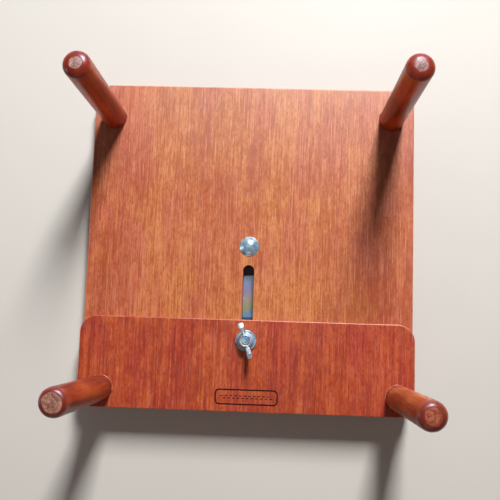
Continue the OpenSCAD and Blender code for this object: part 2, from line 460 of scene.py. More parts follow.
def dowel_wood(name, specular, dark, mid, light):
    """Close-grained stained dowel: faint long fibres and cloudy stain under satin lacquer. The
    attribute "soaked" marks end grain, which drinks more stain and lacquer."""
    g = Graph(name)
    grain = g.attribute("grain", "Vector")
    long_band = g.noise(grain, (210, 7, 210), detail=2.0)
    fibre = g.noise(grain, (950, 42, 950), rough=0.6)
    pores = g.between(g.noise(grain, (1900, 170, 1900), detail=2.0), 0.60, 0.74)
    cloud = g.noise(grain, (36, 17, 36))
    tone = g.times(long_band, 0.30, g.times(fibre, 0.22))
    tone = g.times(cloud, 0.48, tone)
    colour = g.ramp(tone, [(0.41, dark), (0.50, mid), (0.60, light)])
    colour = g.mix(g.times(pores, 0.22), colour, dark)
    painted_light = g.attribute("painted_light", "Fac")
    soaked = g.attribute("soaked", "Fac")
    # Painted shade: darker near the board, where the peg meets it.
    colour = g.mix(g.times(painted_light, 0.35), colour, dark)
    colour = g.mix(g.times(soaked, 0.80), colour, dark)
    fine = g.bump(fibre, 0.00003, 0.6)
    g.set(Base_Color=colour, Normal=g.bump(g.math("SUBTRACT", 1.0, pores), 0.00003, 0.5, fine))
    g.set(Roughness=g.between(cloud, 0.3, 0.7, 0.40, 0.50), Specular_IOR_Level=specular)
    g.set(Specular_Tint=(0.42, 0.52, 1.0, 1.0))
    g.set(Coat_Weight=g.between(soaked, 0.0, 1.0, 0.45, 1.0), Coat_Roughness=0.31, Coat_IOR=1.42)
    return g.material


def dowel_pair(name, *colours):
    """Materials for a peg's side and for its tip, which shines more and reflects a cooler light."""
    return dowel_wood(name, 0.10, *colours), dowel_wood(name + " tip", 0.42, *colours)


def end_grain(name, dark, mid, light, figure):
    """Sanded end of a dowel, where the stain sits greyer: speckle, blotches and, by figure,
    short curved growth lines."""
    g = Graph(name)
    grain = g.attribute("grain", "Vector")
    parts = g.add("ShaderNodeSeparateXYZ", {"Vector": grain})
    flat = g.add("ShaderNodeCombineXYZ", {"X": parts.outputs["X"], "Y": 0.0, "Z": parts.outputs["Z"]})
    flat = flat.outputs["Vector"]
    wander = g.noise(flat, (330, 330, 330))
    reach = g.add("ShaderNodeVectorMath", {0: flat}, operation="LENGTH").outputs["Value"]
    ring = g.math("PINGPONG", g.times(wander, 3.0, g.times(reach, 640.0)), 1.0)
    speckle = g.noise(flat, (1000, 1000, 1000), rough=0.7)
    pores = g.between(speckle, 0.52, 0.64)
    blotch = g.noise(flat, (230, 230, 230), (4, 1, 2), detail=2.0)
    tone = g.times(g.math("SUBTRACT", ring, 0.5), figure, g.times(blotch, 0.35))
    tone = g.times(g.math("SUBTRACT", 1.0, speckle), 0.65, tone)
    colour = g.ramp(tone, [(0.38, dark), (0.48, mid), (0.60, light)])
    colour = g.mix(g.times(pores, 0.35), colour, dark)
    height = g.times(ring, figure, g.math("SUBTRACT", 1.0, pores))
    g.set(Base_Color=colour, Roughness=g.between(blotch, 0.3, 0.7, 0.42, 0.58))
    g.set(Normal=g.bump(height, 0.00009, 0.8), Coat_Weight=0.25, Coat_Roughness=0.28)
    return g.material


def zinc(name, tint, bright, rough_low, rough_high):
    """Satin zinc plate: faint clouds, a little spangle and fine handling scratches."""
    g = Graph(name)
    place_of = g.position()
    cloud = g.noise(place_of, (190, 190, 190), detail=2.0, rough=0.5)
    spangle = g.add("ShaderNodeTexVoronoi", {"Vector": place_of, "Scale": 800.0}, feature="F1")
    speck = g.add("ShaderNodeSeparateColor", {"Color": spangle.outputs["Color"]}).outputs["Red"]
    scratch = g.noise(place_of, (2200, 240, 900), rough=0.7)
    tone = g.times(speck, 0.10, g.times(cloud, 0.95))
    colour = g.mix(g.between(tone, 0.36, 0.70), tint, bright)
    roughness = g.between(tone, 0.3, 0.75, rough_low, rough_high)
    roughness = g.times(g.between(scratch, 0.62, 0.74), 0.10, roughness)
    height = g.times(scratch, 0.35, cloud)
    g.set(Base_Color=colour, Metallic=0.58, Roughness=roughness, Normal=g.bump(height, 0.00003, 0.35))
    return g.material


def reflecting_strip(name, y_low, y_high):
    """Bright strip with a painted reflection in bands of colour along its length, painted glints, scuffs
    along its length, and painted shade just above the plate's edge at y_low."""
    g = Graph(name)
    place_of = g.position()
    parts = g.add("ShaderNodeSeparateXYZ", {"Vector": place_of})
    cloud = g.noise(place_of, (150, 45, 150))
    # Painted reflection: bands from sky blue near the plate's edge to blue at the far end, tilted a little
    # across the strip.
    painted_reflection = g.between(parts.outputs["Y"], y_low, y_high)
    painted_reflection.node.interpolation_type = "LINEAR"
    painted_reflection = g.times(g.math("SUBTRACT", cloud, 0.5), 0.34, painted_reflection)
    painted_reflection = g.times(parts.outputs["X"], -20.0, painted_reflection)
    sky, olive = (0.34, 0.62, 0.98), (0.66, 0.68, 0.30)
    tan, mauve, blue = (0.78, 0.66, 0.62), (0.60, 0.55, 0.90), (0.48, 0.68, 1.0)
    colour = g.ramp(painted_reflection, [(0.16, sky), (0.30, olive), (0.46, tan), (0.66, mauve), (0.90, blue)])
    # Painted glints: a few small near-white flecks.
    painted_glints = g.between(g.noise(place_of, (420, 260, 420), (2, 1, 0), detail=2.0), 0.64, 0.70)
    colour = g.mix(g.times(painted_glints, 0.8), colour, (0.95, 0.97, 0.90))
    # Painted shade: a dark blue band just above the plate's edge.
    painted_edge_shade = g.between(parts.outputs["Y"], y_low + 1.6 * MM, y_low + 2.8 * MM, 0.85, 0.0)
    colour = g.mix(painted_edge_shade, colour, (0.07, 0.11, 0.24))
    scuff = g.noise(place_of, (2400, 60, 600), rough=0.7)
    roughness = g.between(scuff, 0.35, 0.75, 0.12, 0.26)
    g.set(Base_Color=colour, Metallic=0.72, Roughness=roughness, Normal=g.bump(scuff, 0.00002, 0.4))
    return g.material


def moulded_rubber(name):
    """Matt moulded rubber with fine texture and patches of paler dust."""
    g = Graph(name)
    place_of = g.position()
    pebble = g.noise(place_of, (1500, 1500, 1500))
    dust = g.noise(place_of, (140, 140, 140), detail=5.0, rough=0.65)
    colour = g.mix(g.between(dust, 0.45, 0.75), (0.018, 0.017, 0.016), (0.062, 0.058, 0.052))
    g.set(Base_Color=colour, Roughness=g.between(dust, 0.3, 0.7, 0.62, 0.85))
    g.set(Normal=g.bump(pebble, 0.00009, 0.8), Specular_IOR_Level=0.35)
    return g.material


def lacquer_bead(name):
    """Uneven bead of lacquer and glue that the stain only partly covers."""
    g = Graph(name)
    lump = g.noise(g.position(), (420, 420, 420))
    colour = g.mix(g.between(lump, 0.40, 0.64), (0.36, 0.065, 0.022), (0.60, 0.22, 0.13))
    g.set(Base_Color=colour, Roughness=g.between(lump, 0.3, 0.7, 0.30, 0.42))
    g.set(Normal=g.bump(lump, 0.0001, 0.5), Coat_Weight=0.25, Coat_Roughness=0.25)
    return g.material


def burnt_line(name):
    """Charred floor of an engraved line."""
    g = Graph(name)
    char = g.noise(g.position(), (1800, 900, 1800), detail=4.0)
    colour = g.mix(char, (0.008, 0.003, 0.004), (0.070, 0.016, 0.018))
    g.set(Base_Color=colour, Roughness=g.between(char, 0.3, 0.7, 0.6, 0.85))
    g.set(Normal=g.bump(char, 0.0001, 0.8), Specular_IOR_Level=0.2)
    return g.material


BOARD_WOOD = stained_veneer(
    "board veneer", dark=(0.46, 0.100, 0.016), mid=(0.590, 0.170, 0.036), light=(0.73, 0.268, 0.086),
    pore=(0.26, 0.055, 0.018), soak=(0.87, 0.64, 0.95), soaked_edges=0.8)
PLATE_WOOD = stained_veneer(
    "plate veneer", dark=(0.36, 0.038, 0.008), mid=(0.50, 0.070, 0.012), light=(0.64, 0.134, 0.030),
    pore=(0.20, 0.024, 0.010), soak=(0.82, 0.48, 1.0), soaked_edges=0.40, soak_middle=-0.035)
BOARD_EDGE = ply_edge("board edge", (0.46, 0.15, 0.055), (0.30, 0.085, 0.032), (0.12, 0.030, 0.014),
                      board_low.z, board_high.z)
PLATE_EDGE = ply_edge("plate edge", (0.36, 0.085, 0.032), (0.24, 0.050, 0.020), (0.10, 0.020, 0.010),
                      plate_low.z, plate_high.z)
BROWN_DOWEL = dowel_pair("brown dowel", (0.21, 0.018, 0.002), (0.42, 0.044, 0.004), (0.60, 0.100, 0.010))
RED_DOWEL = dowel_pair("red dowel", (0.18, 0.018, 0.006), (0.36, 0.050, 0.012), (0.53, 0.110, 0.030))
ORANGE_DOWEL = dowel_pair("orange dowel", (0.19, 0.024, 0.009), (0.39, 0.077, 0.021), (0.56, 0.165, 0.052))
PALE_END = end_grain("pale peg end", (0.19, 0.085, 0.075), (0.37, 0.200, 0.180),
                     (0.56, 0.350, 0.335), 0.10)
# The pale end again, darker: painted shade that tones down the upper right peg's end under the window
# light.
SHADED_PALE_END = end_grain("darkened peg end", (0.15, 0.062, 0.054), (0.30, 0.150, 0.132),
                      (0.45, 0.265, 0.260), 0.10)
GREY_END = end_grain("grey peg end", (0.17, 0.062, 0.040), (0.33, 0.145, 0.100),
                     (0.50, 0.260, 0.200), 0.10)
STAINED_END = end_grain("stained peg end", (0.20, 0.040, 0.026), (0.37, 0.074, 0.032),
                        (0.470, 0.139, 0.071), 0.16)
ZINC = zinc("zinc plate", (0.24, 0.48, 0.86), (0.68, 0.92, 1.0), 0.20, 0.32)
CAST_ZINC = zinc("cast zinc", (0.50, 0.72, 0.96), (0.96, 1.0, 1.0), 0.28, 0.40)
STRIP_METAL = reflecting_strip("reflecting strip", plate_high.y, strip_high.y)
RUBBER = moulded_rubber("foot rubber")
BEAD = lacquer_bead("lacquer bead")
CHAR = burnt_line("engraved line")

# ---- 4. pieces
EDGE_SOFT = 0.9 * MM
SLOT_SOFT = 0.4 * MM
PEG_HOLE_SOFT = 0.15 * MM
BOLT_HOLE_SOFT = 0.2 * MM
# Node, body, height of its board, share of the tip that is disc, woods, lean of its bead.
PEGS = (
    ("upper_left_peg", "base", board_high.z, 0.44, BROWN_DOWEL, PALE_END, 40),
    ("upper_right_peg", "base", board_high.z, 0.44, BROWN_DOWEL, SHADED_PALE_END, 140),
    ("lower_left_peg", "plate", plate_high.z, 0.66, RED_DOWEL, GREY_END, 10),
    ("lower_right_peg", "plate", plate_high.z, 0.56, ORANGE_DOWEL, STAINED_END, 150),
)
FEET = ["upper_left_foot", "upper_right_foot", "lower_left_foot", "lower_right_foot"]


def highlight_near_edges(z_low, z_high, reach=1.0 * MM):
    """1 on the rounded edges of a board, which take a painted highlight, 0 on its flat faces."""
    def painted_light(co):
        gaps = [abs(co.z - z) for z in (z_low, z_high)]
        return max(max(0.0, 1 - gap / reach) if gap > FLAT_FACE else 0.0 for gap in gaps)
    return painted_light


def build_base_board():
    """Square board with its slot, its peg holes, the stop bolt's pockets and the screw holes."""
    bm = bmesh.new()
    low_z, high_z = board_low.z, board_high.z
    outer = rounded_loop(0, 0, BOARD_SIDE, BOARD_SIDE, CORNER_R)
    slot_mid = (SLOT_TOP + SLOT_BOTTOM) / 2
    slot = rounded_loop(0, slot_mid, 2 * SLOT_R, SLOT_TOP - SLOT_BOTTOM, SLOT_R)
    walls = [(outer, 1, EDGE_SOFT), (slot, -1, SLOT_SOFT)]
    for node in ("upper_left_peg", "upper_right_peg"):
        walls.append((round_loop(*middle(node), radius(node) - PEG_SHOULDER), -1, PEG_HOLE_SOFT))
    lows, highs = add_walls(bm, walls, low_z, high_z)
    # Stop bolt: a square neck pocket from above and a round nut pocket from below.
    neck = rounded_loop(0, STOP_Y, NECK_W, NECK_W, 0.3 * MM, 3)
    neck_top = add_ring(bm, neck(), high_z)
    neck_low = add_ring(bm, neck(), NUT_POCKET_TOP)
    bridge(bm, neck_low, neck_top, 1)
    highs.append(neck_top)
    pocket = round_loop(0, STOP_Y, NUT_POCKET_R)
    pocket_low = add_ring(bm, pocket(), low_z)
    pocket_top = add_ring(bm, pocket(), NUT_POCKET_TOP)
    bridge(bm, pocket_low, pocket_top, 1)
    fill_rings(bm, [pocket_top, neck_low], 1)
    lows.append(pocket_low)
    for node in FEET:
        screw_hole = round_loop(*middle(node), SCREW_R, 4)
        mouth = add_ring(bm, screw_hole(), low_z)
        floor = add_ring(bm, screw_hole(), low_z + SCREW_BITE)
        bridge(bm, mouth, floor, 1)
        bm.faces.new(floor).material_index = 1
        lows.append(mouth)
    fill_rings(bm, highs, 0)
    fill_rings(bm, lows, 0)
    piece = finish_mesh(bm, "base_board_panel", [BOARD_WOOD, BOARD_EDGE])
    set_grain(piece, shift=(0.31, 0.12, 0.07))
    set_amount(piece, "painted_light", highlight_near_edges(low_z, high_z))
    place(piece, "base", "board_wood", "base_board")


LABEL_W, LABEL_H, LABEL_R = 47.2 * MM, 11.5 * MM, 3.2 * MM
LABEL_LINE, LABEL_DEPTH = 0.8 * MM, 0.5 * MM
LABEL_AT = (1.5 * MM, 11.1 * MM - HALF)


def engrave_ring(bm, outer, inner, z):
    """A groove between two loops, with scorched lips. Gives the rings it leaves in the face."""
    scorch, wall = 0.13 * MM, 0.12 * MM
    floor_z = z - LABEL_DEPTH
    loops = [(outer(-scorch), z), (outer(), z), (outer(wall), floor_z),
             (inner(-wall), floor_z), (inner(), z), (inner(scorch), z)]
    rings = [add_ring(bm, loop, at_z) for loop, at_z in loops]
    for a, b in zip(rings, rings[1:]):
        bridge(bm, b, a, 2)
    return rings[0], rings[-1]


def build_sliding_plate():
    """Plate with two pegs and the clamp bolt's hole, engraved with an outline and stitches."""
    bm = bmesh.new()
    low_z, high_z = plate_low.z, plate_high.z
    depth = plate_high.y - plate_low.y
    centre_y = (plate_low.y + plate_high.y) / 2
    walls = [(rounded_loop(0, centre_y, BOARD_SIDE, depth, CORNER_R), 1, EDGE_SOFT)]
    for node in ("lower_left_peg", "lower_right_peg"):
        walls.append((round_loop(*middle(node), radius(node) - PEG_SHOULDER), -1, PEG_HOLE_SOFT))
    walls.append((round_loop(0, CLAMP_Y, BOLT_R + 0.06 * MM), -1, BOLT_HOLE_SOFT))
    lows, highs = add_walls(bm, walls, low_z, high_z)
    outer = rounded_loop(*LABEL_AT, LABEL_W, LABEL_H, LABEL_R)
    line = LABEL_LINE
    inner = rounded_loop(*LABEL_AT, LABEL_W - 2 * line, LABEL_H - 2 * line, LABEL_R - line)
    lip_out, lip_in = engrave_ring(bm, outer, inner, high_z)
    highs.append(lip_out)
    # Inside the outline, two rows of short stitches, set like the courses of a plain weave.
    island = [lip_in]
    stitch, thick, gap, count = 2.3 * MM, 0.6 * MM, 1.2 * MM, 11
    end_r, wall, dip = 0.29 * MM, 0.08 * MM, 0.25 * MM
    for row, shift in ((0.85 * MM, 0.0), (-0.85 * MM, 0.5)):
        for k in range(count):
            x = LABEL_AT[0] + (k - (count - 1) / 2 + shift - 0.25) * (stitch + gap)
            mark = rounded_loop(x, LABEL_AT[1] + row, stitch, thick, end_r, 3)
            lip = add_ring(bm, mark(), high_z)
            floor = add_ring(bm, mark(wall), high_z - dip)
            bridge(bm, floor, lip, 2)
            bm.faces.new(floor).material_index = 2
            island.append(lip)
    fill_rings(bm, island, 0)
    fill_rings(bm, highs, 0)
    fill_rings(bm, lows, 0)
    piece = finish_mesh(bm, "sliding_plate_panel", [PLATE_WOOD, PLATE_EDGE, CHAR])
    set_grain(piece, shift=(0.83, 0.55, 0.21))
    # The plate's edge takes a painted highlight, brighter on the right towards the window light and
    # fainter towards the left.
    painted_light = highlight_near_edges(low_z, high_z)
    set_amount(piece, "painted_light", lambda co: painted_light(co) * min(1.0, max(0.3, 0.7 + co.x / (0.6 * HALF))))
    place(piece, "plate", "plate_wood", "sliding_plate")


TIP_RISE, TIP_CROWN = 4.8 * MM, 0.4 * MM


def peg_tip(bm, centre, r, top_z, disc_share, seed):
    """Rounded tip that ends in a hand-sanded, not quite round, slightly domed disc."""
    steps, disc_steps, sides = 14, 6, ROUND_SIDES
    rings = []
    for k in range(steps + 1):
        turn = math.pi / 2 * k / steps
        ring = []
        for j in range(sides):
            angle = 2 * math.pi * j / sides
            uneven = 1 + 0.05 * math.sin(2 * angle + seed) + 0.03 * math.sin(5 * angle + 2 * seed)
            disc_r = disc_share * r * (1 + (uneven - 1) * math.sin(turn) ** 2)
            out = disc_r + (r - disc_r) * math.cos(turn) ** 1.33
            z = top_z - TIP_CROWN - TIP_RISE * (1 - math.sin(turn) ** 0.91)
            ring.append(add_point(bm, centre, out, angle, z))
        rings.append(ring)
    bridge_all(bm, rings, 2)
    disc = rings[-1]
    for k in range(1, disc_steps):
        share = 1 - k / disc_steps
        inner = []
        for vert in disc:
            x = centre[0] + (vert.co.x - centre[0]) * share
            y = centre[1] + (vert.co.y - centre[1]) * share
            inner.append(bm.verts.new((x, y, top_z - TIP_CROWN * share ** 2)))
        bridge(bm, rings[-1], inner, 1)
        rings.append(inner)
    tip = bm.verts.new((*centre, top_z))
    for k in range(sides):
        bm.faces.new((rings[-1][k], rings[-1][(k + 1) % sides], tip)).material_index = 1


def peg_bead(node, body, centre, r, board_top, lean):
    """Bead of glue and lacquer round a peg's foot, fuller on the side that lean points to."""
    low_w, more_w, high_h, sunk, steps = 0.06 * MM, 0.60 * MM, 0.55 * MM, 0.3 * MM, 4
    bm = bmesh.new()
    rings = [[] for _ in range(steps + 3)]
    for j in range(ROUND_SIDES):
        angle = 2 * math.pi * j / ROUND_SIDES
        full = (0.5 + 0.5 * math.cos(angle - lean)) ** 3
        width = low_w + more_w * full * (1 + 0.2 * math.sin(7 * angle))
        height = high_h * (0.35 + 0.65 * full)
        profile = [(r - sunk, board_top - 0.1 * MM), (r + width, board_top - 0.02 * MM)]
        for k in range(1, steps + 1):
            turn = math.pi / 2 * k / steps
            profile.append((r + width * (1 - math.sin(turn)), board_top + height * (1 - math.cos(turn))))
        profile.append((r - sunk, board_top + height))
        for ring, (out, z) in zip(rings, profile):
            ring.append(add_point(bm, centre, out, angle, z))
    bridge_all(bm, rings + rings[:1])
    place(finish_mesh(bm, node + "_bead", [BEAD], 50, False), body, "peg_wood")


def build_peg(node, body, board_top, disc_share, dowel, end_material, lean, seed):
    """A shouldered dowel with a hand-rounded tip, its sanded end and the bead round its foot."""
    low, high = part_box(node)
    centre, r = middle(node), radius(node)
    tenon_r, end_chamfer = r - PEG_SHOULDER, 0.3 * MM
    wall_z, tip_z = board_top + SHOULDER_CHAMFER, high.z - TIP_RISE - TIP_CROWN
    profile = [(0, low.z), (tenon_r - end_chamfer, low.z), (tenon_r, low.z + end_chamfer)]
    profile += [(tenon_r, board_top), (r - SHOULDER_CHAMFER, board_top), (r, wall_z)]
    body_steps = 12
    profile += [(r, wall_z + (tip_z - wall_z) * k / body_steps) for k in range(1, body_steps + 1)]
    bm = bmesh.new()
    lathe(bm, profile, centre)
    peg_tip(bm, centre, r, high.z, disc_share, seed)
    piece = finish_mesh(bm, node + "_dowel", [dowel[0], end_material, dowel[1]], 50, False)
    pith = (0.005 + 0.003 * math.sin(seed), 0.13 * seed, 0.004 * math.cos(2 * seed))
    set_grain(piece, "Z", (*centre, 0), pith)
    shade_reach, soak_below, soak_reach = 16 * MM, 1 * MM, 5 * MM
    # Painted shade, strongest at the board's top and gone 16 mm from it.
    set_amount(piece, "painted_light", lambda co: max(0.0, 1 - abs(co.z - board_top) / shade_reach))
    set_amount(piece, "soaked", lambda co: min(1.0, max(0.0, (co.z - tip_z + soak_below) / soak_reach)))
    place(piece, body, "peg_wood", node)
    peg_bead(node, body, centre, r, board_top, math.radians(lean))


def threaded(bm, r, z_low, z_high, pitch, at=(0, 0), sides=28):
    """A closed helical thread round an axis, with a chamfered upper end."""
    depth = 0.54 * pitch
    per_pitch = 6
    count = int((z_high - z_low) / pitch * per_pitch)
    rings = []
    for i in range(count + 1):
        z = z_low + (z_high - z_low) * i / count
        ring = []
        for k in range(sides):
            angle = 2 * math.pi * k / sides
            phase = (z / pitch - angle / (2 * math.pi)) % 1.0
            flank = 1 - abs(2 * phase - 1)
            here = r - depth * min(1.0, max(0.0, 1.15 * flank - 0.05))
            here = min(here, r - depth + (z_high - z) * 1.1)
            ring.append(add_point(bm, at, here, angle, z))
        rings.append(ring)
    bridge_all(bm, rings)
    bm.faces.new(rings[-1])
    bm.faces.new(list(reversed(rings[0])))


def carriage_bolt_mesh(length, thread_from):
    """Dome head hanging below z = 0, square neck, shank and thread rising to length."""
    bm = bmesh.new()
    ball_r = (HEAD_R ** 2 + HEAD_H ** 2) / (2 * HEAD_H)
    rim, dome_steps = 0.35 * MM, 12
    top_turn = math.asin((HEAD_R - rim * 0.4) / ball_r)
    profile = [(0, 0), (HEAD_R - rim, 0), (HEAD_R - rim * 0.3, -rim * 0.3), (HEAD_R, -rim)]
    for k in range(1, dome_steps + 1):
        turn = top_turn * (1 - k / dome_steps)
        r = ball_r * math.sin(turn)
        z = -(ball_r * math.cos(turn) - (ball_r - HEAD_H))
        profile.append((r if k < dome_steps else 0, min(z, -rim)))
    lathe(bm, profile)
    neck = rounded_loop(0, 0, NECK_W, NECK_W, 0.5 * MM, 3)
    neck_loops = [(neck(), 0.0), (neck(), 2.7 * MM), (neck(0.45 * MM), 3.2 * MM)]
    rings = [add_ring(bm, loop, z) for loop, z in neck_loops]
    bridge_all(bm, rings)
    bm.faces.new(rings[-1])
    bm.faces.new(list(reversed(rings[0])))
    shank_r, shank_z = BOLT_R - 0.35 * MM, 3.0 * MM
    lathe(bm, [(0, shank_z), (shank_r, shank_z), (shank_r, thread_from), (0, thread_from)], sides=32)
    threaded(bm, BOLT_R, thread_from - 0.2 * MM, length, THREAD_PITCH)
    return bm


def build_clamp_bolt():
    base_z = clamp_low.z + HEAD_H
    bm = carriage_bolt_mesh(clamp_high.z - base_z, CLAMP_THREAD_FROM)
    put_at(bm, (0, CLAMP_Y, base_z), STRIP_SKEW)
    place(finish_mesh(bm, "clamp_bolt_body", [ZINC], 35), "clamp", "zinc_steel", "clamp_bolt")


def build_stop_bolt():
    bm = carriage_bolt_mesh(stop_high.z - HEAD_H - stop_low.z, STOP_THREAD_FROM)
    put_at(bm, (0, STOP_Y, board_high.z), math.pi, "X")
    place(finish_mesh(bm, "stop_bolt_body", [ZINC], 35), "base", "zinc_steel", "stop_bolt")


def build_stop_nut():
    """Hexagon nut with turned corners and countersunk thread."""
    flats = stop_nut_high.y - stop_nut_low.y
    z_low, z_high = stop_nut_low.z, stop_nut_high.z
    corner_r = flats / 2 / math.cos(math.pi / 6)
    centre, sides, chamfer = (0, STOP_Y), 72, 0.8 * MM
    bm = bmesh.new()
    rings = []
    for edge, z in ((1, z_low), (0, z_low + chamfer), (0, z_high - chamfer), (1, z_high)):
        ring = []
        for k in range(sides):
            angle = 2 * math.pi * k / sides
            face = (angle + math.pi / 6) % (math.pi / 3) - math.pi / 6
            r = flats / 2 / math.cos(math.pi / 6 - abs(face))
            r = min(r, flats / 2 * 0.985 if edge else corner_r)
            ring.append(add_point(bm, centre, r, angle, z))
        rings.append(ring)
    bridge_all(bm, rings)
    mouth_r, thread_r, sink = BOLT_R + 0.5 * MM, BOLT_R - 0.05 * MM, 0.5 * MM
    profile = [(mouth_r, z_low), (thread_r, z_low + sink), (thread_r, z_high - sink), (mouth_r, z_high)]
    bore = [add_circle(bm, centre, r, z, sides) for r, z in profile]
    bridge_all(bm, bore)
    bridge(bm, rings[0], bore[0])
    bridge(bm, rings[-1], bore[-1])
    place(finish_mesh(bm, "stop_nut_body", [ZINC], 25), "base", "zinc_steel", "stop_nut")


def build_washer(name, cx, cy, z_low, z_high, r_out, r_in):
    """Stamped washer: rolled edge above, sharper burr below."""
    top, low = 0.35 * MM, 0.12 * MM
    profile = [(r_in + low, z_low), (r_out - low, z_low), (r_out, z_low + low)]
    profile += arc(r_out - top, z_high - top, top, 0, 90, 4)
    profile += arc(r_in + low, z_high - low, low, 90, 180, 3)
    profile.append((r_in, z_low + low))
    bm = bmesh.new()
    lathe(bm, profile, (cx, cy), closed=True)
    return finish_mesh(bm, name, [ZINC], 35)


def build_strip():
    """Flat strip with sheared, slightly rounded edges and a square hole."""
    thick = strip_high.z - strip_low.z
    hole_w = NECK_W + 0.2 * MM
    bm = bmesh.new()
    outer = rounded_loop(0, 0, STRIP_WIDTH, STRIP_LENGTH, 0.8 * MM, 4)
    hole = rounded_loop(0, 0, hole_w, hole_w, 0.3 * MM, 3)
    low_o, high_o = add_wall(bm, outer, 1, 0, thick, 0.25 * MM)
    low_h, high_h = add_wall(bm, hole, -1, 0, thick, 0.1 * MM)
    fill_rings(bm, [high_o, high_h])
    fill_rings(bm, [low_o, low_h])
    put_at(bm, (0, CLAMP_Y, strip_low.z), STRIP_SKEW)
    strip = finish_mesh(bm, "backing_strip_body", [STRIP_METAL], 35)
    place(strip, "clamp", "bright_strip", "backing_strip")


def wing_loft(bm, side):
    """One cast ear: a neck that rises outwards from the hub into a blunt tip, which swells on
    the first side and stays slimmer on the second."""
    # Places (outwards, upwards) along the ear and its half sizes there (across, along), in mm.
    path = [(2.8, 3.2), (4.8, 4.0), (6.6, 5.2), (8.2, 7.0),
            (9.6, 9.2), (10.6, 11.4), (11.1, 12.7), (11.2, 13.1)]
    blade = [(1.8, 2.6), (1.7, 2.4), (1.7, 2.2), (1.75, 2.2),
             (1.9, 2.3), (2.15, 2.4), (2.25, 2.3), (1.9, 1.9)]
    widest = 2.25 if side > 0 else 1.9
    ring_steps, bulge = 20, 0.7
    rings = []
    for k, ((u, z), (thick, tall)) in enumerate(zip(path, blade)):
        ahead = path[min(k + 1, len(path) - 1)]
        behind = path[max(k - 1, 0)]
        along = Vector((ahead[0] - behind[0], 0, ahead[1] - behind[1])).normalized()
        up = Vector((-along.z, 0, along.x))
        ring = []
        for i in range(ring_steps):
            angle = 2 * math.pi * i / ring_steps
            c, s = math.cos(angle), math.sin(angle)
            side_way = min(thick, widest) * math.copysign(abs(c) ** bulge, c)
            up_way = tall * math.copysign(abs(s) ** bulge, s)
            co = Vector((u, side_way, z)) + up * up_way
            ring.append(bm.verts.new((side * co.x * MM, co.y * MM, co.z * MM)))
        rings.append(ring)
    bridge_all(bm, rings)
    bm.faces.new(rings[0])
    bm.faces.new(rings[-1])


def build_wing_nut():
    """Cast wing nut: turned hub and two ears, melted together by a fine remesh."""
    bm = bmesh.new()
    turned = [(5.6, 0), (5.9, 0.3), (5.85, 1.2), (5.3, 2.2), (4.9, 4.5), (4.6, 7.2), (4.2, 7.9)]
    hub = [(BORE_R, 0)] + [(r * MM, z * MM) for r, z in turned]
    hub += [(BORE_R + 0.45 * MM, 8.0 * MM), (BORE_R, 7.55 * MM)]
    lathe(bm, hub, closed=True)
    for side in (-1, 1):
        wing_loft(bm, side)
    bmesh.ops.recalc_face_normals(bm, faces=bm.faces)
    piece = finish_mesh(bm, "wing_nut_body", [CAST_ZINC], 60, False)
    remesh = piece.modifiers.new("melt", "REMESH")
    remesh.mode = "VOXEL"
    remesh.voxel_size = 0.22 * MM
    smooth = piece.modifiers.new("soften", "SMOOTH")
    smooth.factor = 0.5
    smooth.iterations = 5
    apply_modifiers(piece)
    top = max(vert.co.z for vert in piece.data.vertices)
    reach = max(abs(vert.co.x) for vert in piece.data.vertices)
    want_top = nut_high.z - nut_low.z
    turn = Matrix.Translation((0, CLAMP_Y, nut_low.z)) @ Matrix.Rotation(math.pi / 2 + WING_TURN, 4, "Z")
    turn = turn @ Matrix.Diagonal((WING_REACH / reach, 1, want_top / top, 1))
    piece.data.transform(turn)
    shade_smooth(piece.data)
    piece.name = "wing_nut_casting"
    place(piece, "nut", "zinc_steel", "wing_nut")


def build_foot(node):
    """Tapered rubber foot with a rolled rim, a step near its top and a recess for its screw."""
    low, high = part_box(node)
    cx, cy = middle(node)
    top_r, rise = radius(node), high.z - low.z
    base_r, soft = top_r - 2 * MM, 1.1 * MM
    profile = [(SCREW_R, low.z + FOOT_RECESS_DEPTH), (FOOT_RECESS_R, low.z + FOOT_RECESS_DEPTH)]
    profile += [(FOOT_RECESS_R, low.z + 0.5 * MM), (FOOT_RECESS_R + 0.5 * MM, low.z)]
    profile += arc(base_r - soft, low.z + soft, soft, -90, -5, 6)
    profile += [(base_r + (top_r - base_r) * t, low.z + rise * t) for t in (0.15, 0.5, 0.82)]
    profile += [(top_r - 0.35 * MM, high.z - 1.0 * MM), (top_r, high.z - 0.8 * MM)]
    profile += [(top_r, high.z - 0.2 * MM), (top_r - 0.2 * MM, high.z), (SCREW_R, high.z)]
    bm = bmesh.new()
    lathe(bm, profile, (cx, cy), closed=True)
    place(finish_mesh(bm, node + "_rubber", [RUBBER], 35), "base", "foot_rubber", node)


